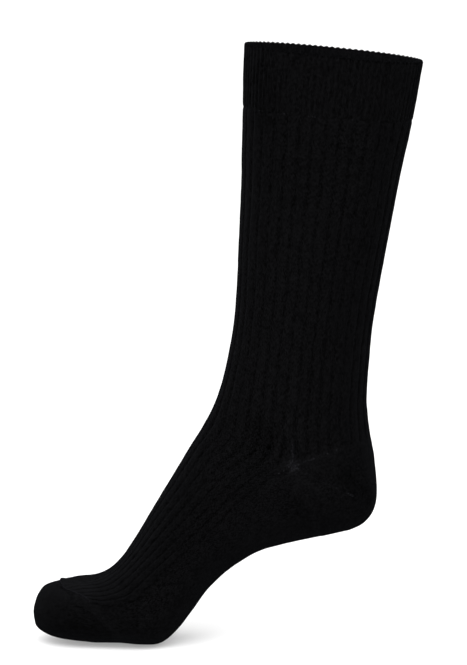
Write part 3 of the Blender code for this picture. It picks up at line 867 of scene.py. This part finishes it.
def link(needles, away):
    """Height of the linked seam over the toe, a row of loops on its line."""
    over_top = ease(needles / LINK_ENDS) * ease((HALF_NEEDLES - needles) / LINK_ENDS)
    loops = 1 - LINK_LOOPS + LINK_LOOPS * np.cos(2 * np.pi * needles)
    return over_top * loops * swell(away, LINK_WIDTH)


from_side = np.minimum(ROUND_NEEDLES % HALF_NEEDLES, -ROUND_NEEDLES % HALF_NEEDLES)
foot_grooves = np.where(at_back, swell(from_side, GROOVE_WIDTH), grooves)
instep = np.where(at_back, 0.0, grooves)
# the top of the instep, which gets painted light
painted_light_on_top = np.where(at_back, 0.0, ease(np.sin(np.pi * ROUND_SHARES) * INSTEP_PAINTED_LIGHT_FULL))

ring = Ring()
places, spots = even_rows(FOOT, 0, TOE_BEGINS, FOOT_ROW)
foot_length = spots[-1]
for place, spot in zip(places, spots):
    left = foot_length - spot
    seam = link(ROUND_NEEDLES, left)
    rib_depth = RIB_DEPTH + (INSTEP_RIB_DEPTH - RIB_DEPTH) * ease(spot / INSTEP_SPREAD)
    fade = ease(left / SEAM_FADE)
    depth = rib_depth * foot_grooves * fade * np.where(at_back, ease(spot / HEEL_FADE), 1.0)
    depth = depth + wales - LINK_HEIGHT * seam
    points = lay(frame_of(FOOT, place, ROUND_SHARES), depth, TOE_FORM)
    chart = numbered(ROUND_NEEDLES, cuff_length + leg_length + spot)
    drawn = HEEL_END_PALE * at_back * swell(spot, HEEL_END_WIDTH) * every_other(ROUND_NEEDLES)
    pale = np.clip(at_corner(points) + LINK_PALE * seam + drawn, 0, 1)
    # painted light on top of the instep by the seam, painted shade in the grooves, and painted
    # light and shade from the folds and patches
    instep_painted_light = INSTEP_PAINTED_LIGHT * painted_light_on_top * swell(left, INSTEP_PAINTED_LIGHT_REACH)
    tone = GROOVE_PAINTED_SHADE * foot_grooves * fade + instep_painted_light + fold_painted_shade(points, FOOT_FOLDS)
    ring.add(points, chart, pale, tone)
ring.turn()
places, spots = even_rows(FOOT, 0, TOE_BEGINS, FOOT_INNER_ROW, seams=False)
for place, spot in zip(places[::-1], spots[::-1]):
    depth = KNIT_THICKNESS + (LEG_WALL - KNIT_THICKNESS) * instep
    points = lay(frame_of(FOOT, place, ROUND_SHARES), depth, TOE_FORM)
    ring.add(points, numbered(ROUND_NEEDLES, cuff_length + leg_length + spot))
ring.close()
foot = wrap("foot_knit", ring)
foot.data.materials.append(wide_rib_cotton)
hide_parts("foot")
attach(foot, "root")

# ---------------------------------------------------------------------------------------------
# Open loops. At the heel's corners, along its turning lines and here and there where the cuff is
# joined on, loops are pulled wide, and the paler stretch yarn that is knitted in with the cotton
# lies bare on the cloth.
# ---------------------------------------------------------------------------------------------
YARN_RADIUS = 0.16
LOOP_WIDE = 1.1
LOOP_LONG = 1.5
LOOP_SQUARE = 0.7  # below 1, so that its end is squarer than half a circle
LOOP_STANDS = 1.1  # radii of the yarn, from the ends of the loop to its top
LOOP_SUNK = 0.5  # radii, at its ends
LOOP_POINTS = 9
LOOK_FROM = 100.0  # out at the side, clear of the sock
BARE_SHARE = 0.75  # of the loops show, and the rest are covered by their neighbours
WANDER = 0.3  # of a loop from its place
FAN_RINGS = ((0.6, 3), (1.7, 7), (2.9, 9))  # radius round the corner, and loops on it
FAN_TALL = 1.2  # times as high as wide
FAN_SIZES = (0.7, 1.0)
TRAIL_SIZES = (0.5, 0.8)
Trail = namedtuple("Trail", "from_x from_z to_x to_z loops")
TRAILS = (
    Trail(-26.6, -271.0, -28.0, -262.5, 4),
    Trail(-28.0, -261.0, -27.2, -254.5, 2),
    Trail(-21.5, -271.0, -13.0, -268.0, 5),
    Trail(-7.0, -266.0, 4.0, -262.5, 2),
    Trail(0.5, -287.8, 13.0, -294.5, 9),
    Trail(-31.0, -275.0, -38.0, -279.0, 2),
)
JOIN_LOOPS_X = (-49.0, -47.6, -33.6, -32.7, -17.4, -15.6, -13.6, 12.0, 30.5)  # on the cuff's end
JOIN_WANDER = 1.0
JOIN_FAR_SHIFT = 9.0  # on the other side they are further back
JOIN_SIZES = (0.3, 0.5)
TWIST_SIZE = 0.6  # from a dark place to a pale one along the yarn
TWIST_DARK = "#040404"
TWIST_FROM, TWIST_TO = 0.35, 0.65  # the middle of the noise, which makes the change clear


def on_cloth(x, z, side):
    """The point of the cloth, on one side of the sock, that is seen at x and z."""
    start = Vector((x * MM, side * LOOK_FROM * MM, z * MM))
    hits = [piece.ray_cast(start, Vector((0, -side, 0))) for piece in (cuff, leg, heel, foot)]
    found = [place for hit, place, _, _ in hits if hit]
    return max(found, key=lambda place: side * place.y)


def open_loop(x, z, side, turn, size):
    """An arch of yarn that stands on the cloth with its ends sunk in it."""
    route = []
    for swing in np.pi * np.linspace(0, 1, LOOP_POINTS):
        across = -0.5 * LOOP_WIDE * size * np.cos(swing)
        onward = LOOP_LONG * size * np.sin(swing) ** LOOP_SQUARE
        place = on_cloth(
            x + across * np.cos(turn) - onward * np.sin(turn),
            z + across * np.sin(turn) + onward * np.cos(turn),
            side,
        )
        stands = YARN_RADIUS * (LOOP_STANDS * np.sin(swing) - LOOP_SUNK) * MM
        route.append(place + Vector((0, side, 0)) * stands)
    return route


def yarn_piece(name, routes, radius):
    """Lengths of yarn along their routes, as one mesh."""
    curve = bpy.data.curves.new(name, "CURVE")
    curve.dimensions = "3D"
    curve.bevel_depth = radius * MM
    curve.bevel_resolution = 1
    curve.use_fill_caps = True
    for route in routes:
        spline = curve.splines.new("POLY")
        spline.points.add(len(route) - 1)
        spline.points.foreach_set("co", np.column_stack([route, np.ones(len(route))]).ravel())
    piece = bpy.data.objects.new(name, curve)
    bpy.context.scene.collection.objects.link(piece)
    bpy.ops.object.select_all(action="DESELECT")
    piece.select_set(True)
    bpy.context.view_layer.objects.active = piece
    bpy.ops.object.convert(target="MESH")
    weld()
    bpy.ops.object.shade_smooth()
    return piece


def yarn_material(name, colour):
    """Filament yarn: smooth, matt and paler than the dyed cotton, and twisted, so that its tone
    comes and goes along it."""
    material = bare_material(name)
    tree = material.node_tree
    place = add(tree, "TexCoord").outputs["Object"]
    twist = {"Vector": place, "Scale": 1 / (TWIST_SIZE * MM), "Detail": 2.0}
    tone = {"Value": add(tree, "TexNoise", twist), "From Min": TWIST_FROM, "From Max": TWIST_TO}
    tone = add(tree, "MapRange", tone)
    yarn = {"Factor": tone, 6: linear(TWIST_DARK), 7: linear(colour)}
    yarn = {**MATT, "Base Color": add(tree, "Mix", yarn, data_type="RGBA").outputs[2]}
    add(tree, "OutputMaterial", {"Surface": add(tree, "BsdfPrincipled", yarn)})
    return material


chance = np.random.default_rng(seed=7)
routes = []
for side in (-1, 1):
    for radius, count in FAN_RINGS:
        for n in range(count):
            turn = 2 * np.pi * (n + chance.uniform(-WANDER, WANDER)) / count
            x = CORNER[0] - radius * np.sin(turn)
            z = CORNER[2] + FAN_TALL * radius * np.cos(turn)
            if chance.random() < BARE_SHARE:
                routes.append(open_loop(x, z, side, turn, chance.uniform(*FAN_SIZES)))
    for trail in TRAILS:
        way = np.array([trail.to_x - trail.from_x, trail.to_z - trail.from_z])
        turn = np.arctan2(-way[0], way[1])
        for share in (np.arange(trail.loops) + 0.5) / trail.loops:
            x = trail.from_x + share * way[0] + chance.uniform(-WANDER, WANDER)
            z = trail.from_z + share * way[1] + chance.uniform(-WANDER, WANDER)
            if chance.random() < BARE_SHARE:
                routes.append(open_loop(x, z, side, turn, chance.uniform(*TRAIL_SIZES)))
for side in (-1, 1):
    on_side = cuff_end[np.sign(cuff_end[:, 1]) == side]
    for x in JOIN_LOOPS_X:
        x += chance.uniform(-JOIN_WANDER, JOIN_WANDER) + (JOIN_FAR_SHIFT if side > 0 else 0)
        z = on_side[np.argmin(np.abs(on_side[:, 0] - x)), 2]
        routes.append(open_loop(x, z, side, 0.0, chance.uniform(*JOIN_SIZES)))
open_loops = yarn_piece("open_loops", routes, YARN_RADIUS)
open_loops.data.materials.append(yarn_material("bare_stretch_yarn", "#202023"))
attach(open_loops, "root")

# ---------------------------------------------------------------------------------------------
# Toe. A second plain pocket, knitted as the heel is: out from the sole, round the tip and back
# over the toes, where its last course is linked loop by loop to the instep.
# ---------------------------------------------------------------------------------------------
TOE_ROW = 1.1
TOE_INNER_ROW = 4.0
TOE_NEEDLE = 1.55  # width of its stitches, which stay alike as its courses get shorter
TOE_SMOOTH = 10.0  # its wales run out at the tip over this length

toe_shares = np.concatenate([half_shares, 1 + half_shares])
toe_needles = np.concatenate([half_needles, HALF_NEEDLES + half_needles])
under = ease(np.minimum(toe_needles - HALF_NEEDLES, NEEDLES - toe_needles) / LINK_ENDS)


def toe_chart(points, spot):
    """Stitches of a row round the toe, counted on each half from its middle."""
    half = len(half_shares)
    counted = []
    for start, middle in ((0, 0.5 * HALF_NEEDLES), (half, 1.5 * HALF_NEEDLES)):
        length = length_along(points[start : start + half])
        counted.append(middle + (length - length[-1] / 2) / TOE_NEEDLE)
    return numbered(np.concatenate(counted), cuff_length + leg_length + foot_length + spot)


def toe_course(place):
    """As frame_of gives it, also at the tip, which faces forward."""
    if place < len(FOOT_COURSES) - 1:
        return frame_of(FOOT, place, toe_shares)
    points = FOOT.points(place, toe_shares)
    ways = ((0.0, 1.0, 0.0), (0.0, 0.0, 1.0), (-1.0, 0.0, 0.0))
    return points, *(np.tile(way, (len(points), 1)) for way in ways)


ring = Ring()
places, spots = even_rows(FOOT, TOE_BEGINS, len(FOOT_COURSES) - 1, TOE_ROW)
toe_length = spots[-1]
for place, spot in zip(places, spots):
    seam = link(toe_needles, spot)
    course = toe_course(place)
    depth = wale_depth(toe_needles) * ease((toe_length - spot) / TOE_SMOOTH)
    points = lay(course, depth - LINK_HEIGHT * seam, TOE_FORM)
    drawn = HEEL_END_PALE * under * swell(spot, HEEL_END_WIDTH) * every_other(toe_needles)
    # painted shade round the edge of the sole under the toes, and painted light and shade from
    # the folds and patches
    sole_edge_painted_shade = SOLE_EDGE_PAINTED_SHADE * swell(points[:, 2] - SOLE_EDGE, SOLE_EDGE_SHADE_WIDTH)
    tone = sole_edge_painted_shade + fold_painted_shade(points, FOOT_FOLDS)
    ring.add(points, toe_chart(course[0], spot), LINK_PALE * seam + drawn, tone)
places, spots = even_rows(FOOT, TOE_BEGINS, len(FOOT_COURSES) - 1, TOE_INNER_ROW, seams=False)
for place, spot in zip(places[::-1], spots[::-1]):
    course = toe_course(place)
    ring.add(lay(course, PLAIN_WALL, TOE_FORM), toe_chart(course[0], spot))
ring.close()
toe = wrap("toe_knit", ring)
toe.data.materials.append(plain_cotton)
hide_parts("toe")
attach(toe, "root")

# ---------------------------------------------------------------------------------------------
# Toe seam. The linking machine's own yarn, two plies that wind round each other through every
# loop of the toe and the instep.
# ---------------------------------------------------------------------------------------------
PLY_RADIUS = 0.22
PLY_ASIDE = 0.26
PLY_POINTS = 8  # on each needle
PLY_NEEDLES = 2  # a turn
SEAM_LIFT = 0.45
SEAM_ENDS = 1.5  # needles at each end where it goes into the cloth
SEAM_SINKS = 1.5

turns = np.arange(0, HALF_NEEDLES * PLY_POINTS + 1) / PLY_POINTS
course = frame_of(FOOT, TOE_BEGINS, turns / HALF_NEEDLES * (1 - 2 * NUDGE) + NUDGE)
_, _, onward, out = course
sunk = 1 - ease(np.minimum(turns, HALF_NEEDLES - turns) / SEAM_ENDS)
line = lay(course, SEAM_SINKS * sunk - SEAM_LIFT, TOE_FORM)
plies = []
for start in (0, np.pi):
    turn = (start + 2 * np.pi * turns / PLY_NEEDLES)[:, None]
    plies.append((line + PLY_ASIDE * (onward * np.cos(turn) + out * np.sin(turn))) * MM)
toe_seam = yarn_piece("toe_seam_yarn", plies, PLY_RADIUS)
toe_seam.data.materials.append(yarn_material("linking_yarn", "#1a1a1d"))
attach(toe_seam, "root")

# ---------------------------------------------------------------------------------------------
# Floor, light and camera. A white floor in even white light, which is stronger from above, with
# one large softbox in front and above, and a long lens a little above the middle of the sock.
# ---------------------------------------------------------------------------------------------
FLOOR_SIZE = 60.0
FLOOR_CLEAR = 0.0002
FLOOR_GLOW = 0.28  # keeps it white right to the horizon
SKY_LIGHT = 1.4
FLOOR_LIGHT = 1.0
FLOOR_LIGHT_BELOW, SKY_LIGHT_ABOVE = -0.2, -0.03  # heights on the unit sphere
SOCK_MIDDLE = Vector((-0.0667, 0.0012, -0.188))
SOFTBOX_PLACE = Vector((-0.45, -2.4, 1.1))
SOFTBOX_SIZE = 2.4
SOFTBOX_WATTS = 124.0
CAMERA_DISTANCE = 4.2
CAMERA_ELEVATION = 7.0
SEEN_HEIGHT = 0.44555  # what the lens takes in from top to bottom at the sock

bpy.ops.object.select_all(action="DESELECT")
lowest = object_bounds()[0][2]
bpy.ops.mesh.primitive_plane_add(size=FLOOR_SIZE, location=(0, 0, lowest - FLOOR_CLEAR))
floor = bpy.context.object
floor.name = "floor"
# Uncoated white paper: with no gloss it shows only soft shadows.
paper = bare_material("white_paper")
fibres = {
    **MATT,
    "Base Color": linear("#d0d0d0"),
    "Emission Color": (1, 1, 1, 1),
    "Emission Strength": FLOOR_GLOW,
}
fibres = add(paper.node_tree, "BsdfPrincipled", fibres)
add(paper.node_tree, "OutputMaterial", {"Surface": fibres})
floor.data.materials.append(paper)
floor.visible_diffuse = False  # what light it sends back is part of the even light

scene = bpy.context.scene
scene.view_settings.view_transform = "Standard"
world = bpy.data.worlds.new("even_light")
world.use_nodes = True
tree = world.node_tree
way = add(tree, "SeparateXYZ", {0: add(tree, "TexCoord").outputs["Generated"]})
light = {
    "Value": way.outputs["Z"],
    "From Min": FLOOR_LIGHT_BELOW,
    "From Max": SKY_LIGHT_ABOVE,
    "To Min": FLOOR_LIGHT,
    "To Max": SKY_LIGHT,
}
background = tree.nodes["Background"]
background.inputs["Color"].default_value = (1, 1, 1, 1)
tree.links.new(add(tree, "MapRange", light).outputs[0], background.inputs["Strength"])
scene.world = world

bpy.ops.object.light_add(type="AREA", location=SOFTBOX_PLACE)
softbox = bpy.context.object
softbox.name = "softbox"
softbox.data.shape = "SQUARE"
softbox.data.size = SOFTBOX_SIZE
softbox.data.energy = SOFTBOX_WATTS
softbox.rotation_euler = (SOCK_MIDDLE - SOFTBOX_PLACE).to_track_quat("-Z", "Y").to_euler()
softbox.visible_camera = False

up = np.radians(CAMERA_ELEVATION)
camera_place = SOCK_MIDDLE + CAMERA_DISTANCE * Vector((0, -np.cos(up), np.sin(up)))
bpy.ops.object.camera_add(location=camera_place)
camera = bpy.context.object
camera.rotation_euler = (SOCK_MIDDLE - camera_place).to_track_quat("-Z", "Y").to_euler()
camera.data.sensor_width = 36.0
camera.data.lens = camera.data.sensor_width * CAMERA_DISTANCE / SEEN_HEIGHT
camera.data.clip_end = 200.0
scene.camera = camera
